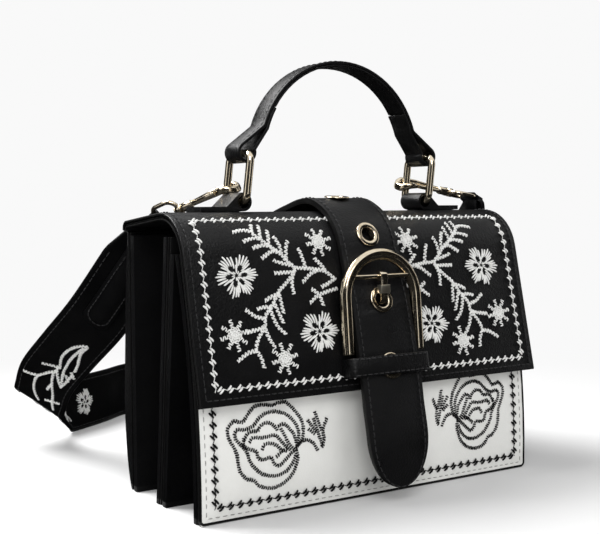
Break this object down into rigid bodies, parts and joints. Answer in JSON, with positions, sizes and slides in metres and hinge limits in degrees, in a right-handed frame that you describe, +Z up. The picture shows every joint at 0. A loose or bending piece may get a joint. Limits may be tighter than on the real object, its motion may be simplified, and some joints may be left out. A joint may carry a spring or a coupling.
{
  "type": "embroidered handbag",
  "caption": "Stiff leather satchel with a belted flap and buckle, concertina compartments, arched top handle on rings and a shoulder strap on snap hooks.",
  "frame": {"origin": "middle of the bag's base, on the surface that it stands on", "axes": "+X to the right of the bag seen from the front, +Y to its back, +Z up"},
  "size_m": [0.2654, 0.3358, 0.2475],
  "materials": {
    "black_leather": "fine-grained black, edges painted black",
    "white_leather": "smooth off-white with black embroidery",
    "lining_leather": "matt black",
    "board": "stiffener hidden between leather and lining",
    "strap_leather": "fine-grained black with pale embroidery",
    "gold": "polished champagne gold",
    "pale_gold": "satin pale gold",
    "magnet": "plated, hidden under the flap"
  },
  "bodies": {
    "bag": {"back_panel": "black_leather", "back_board": "board", "back_lining": "lining_leather", "rear_gusset": "black_leather", "divider_rear_wall": "lining_leather", "divider_board": "board", "divider_front_wall": "lining_leather", "front_gusset": "black_leather", "front_lining": "lining_leather", "front_board": "board", "front_panel": "white_leather", "magnet_socket": "magnet", "shoulder_strap": "strap_leather", "strap_chape_left": "strap_leather", "strap_chape_right": "strap_leather"},
    "flap": {"flap_leather": "black_leather", "flap_board": "board", "flap_lining": "lining_leather", "magnet_stud": "magnet", "belt": "black_leather", "grommet_1": "gold", "grommet_2": "gold", "grommet_3": "gold", "grommet_4": "gold", "buckle_frame": "gold", "buckle_base_bar": "gold", "buckle_chape": "black_leather", "keeper": "black_leather", "tab_left": "black_leather", "tab_right": "black_leather"},
    "prong": {"prong": "gold", "prong_sleeve": "pale_gold"},
    "ring_left": {"ring_left": "gold"},
    "ring_right": {"ring_right": "gold"},
    "handle": {"handle_strap": "black_leather", "handle_lining": "black_leather"},
    "hook_left": {"hook_left": "gold"},
    "hook_right": {"hook_right": "gold"},
    "gate_left": {"gate_left": "gold"},
    "gate_right": {"gate_right": "gold"},
    "swivel_left": {"swivel_loop_left": "gold"},
    "swivel_right": {"swivel_loop_right": "gold"}
  },
  "joints": [
    {"name": "flap_lid", "type": "hinge", "parent": "bag", "child": "flap", "pos_m": [0, 0.04532, 0.1493], "axis": [-1, 0, 0], "range_deg": [0, 80], "deforming": ["shoulder_strap", "strap_chape_left", "strap_chape_right"]},
    {"name": "prong_lift", "type": "hinge", "parent": "flap", "child": "prong", "pos_m": [0, -0.04687, 0.1238], "axis": [-1, 0, 0], "range_deg": [0, 100]},
    {"name": "ring_left_swing", "type": "hinge", "parent": "flap", "child": "ring_left", "pos_m": [-0.0645, 0.0028, 0.16547], "axis": [0, 1, 0], "range_deg": [-27, 12]},
    {"name": "ring_right_swing", "type": "hinge", "parent": "flap", "child": "ring_right", "pos_m": [0.0645, 0.0028, 0.16547], "axis": [0, 1, 0], "range_deg": [-27, 12]},
    {"name": "handle_sway", "type": "hinge", "parent": "ring_left", "child": "handle", "pos_m": [-0.06119, 0.0028, 0.19247], "axis": [0, 1, 0], "range_deg": [-12, 27]},
    {"name": "hook_left_swing", "type": "hinge", "parent": "ring_left", "child": "hook_left", "pos_m": [-0.06346, 0.0146, 0.17391], "axis": [0, 1, 0], "range_deg": [-12, 27]},
    {"name": "hook_right_swing", "type": "hinge", "parent": "ring_right", "child": "hook_right", "pos_m": [0.06596, 0.0146, 0.17738], "axis": [0, 1, 0], "range_deg": [-12, 27]},
    {"name": "gate_left_press", "type": "hinge", "parent": "hook_left", "child": "gate_left", "pos_m": [-0.07654, 0.03424, 0.16456], "axis": [-0.3794, 0.1795, 0.9077], "range_deg": [0, 15], "stiffness_Nm_per_rad": 0.01, "springref_deg": -5.73},
    {"name": "gate_right_press", "type": "hinge", "parent": "hook_right", "child": "gate_right", "pos_m": [0.09066, 0.0117, 0.17233], "axis": [-0.1644, 0.2588, -0.9518], "range_deg": [0, 15], "stiffness_Nm_per_rad": 0.01, "springref_deg": -5.73},
    {"name": "swivel_left_turn", "type": "hinge", "parent": "hook_left", "child": "swivel_left", "pos_m": [-0.07777, 0.04317, 0.16228], "axis": [-0.4208, 0.8402, -0.342], "range_deg": [-25, 14]},
    {"name": "swivel_right_turn", "type": "hinge", "parent": "hook_right", "child": "swivel_right", "pos_m": [0.09947, 0.0146, 0.1716], "axis": [0.9854, 0, -0.1702], "range_deg": [-25, 25]}
  ],
  "couplings": [
    {"joint": "ring_right_swing", "follows": "ring_left_swing", "ratio": 1},
    {"joint": "handle_sway", "follows": "ring_left_swing", "ratio": -1},
    {"joint": "hook_left_swing", "follows": "ring_left_swing", "ratio": -1},
    {"joint": "hook_right_swing", "follows": "ring_left_swing", "ratio": -1}
  ]
}
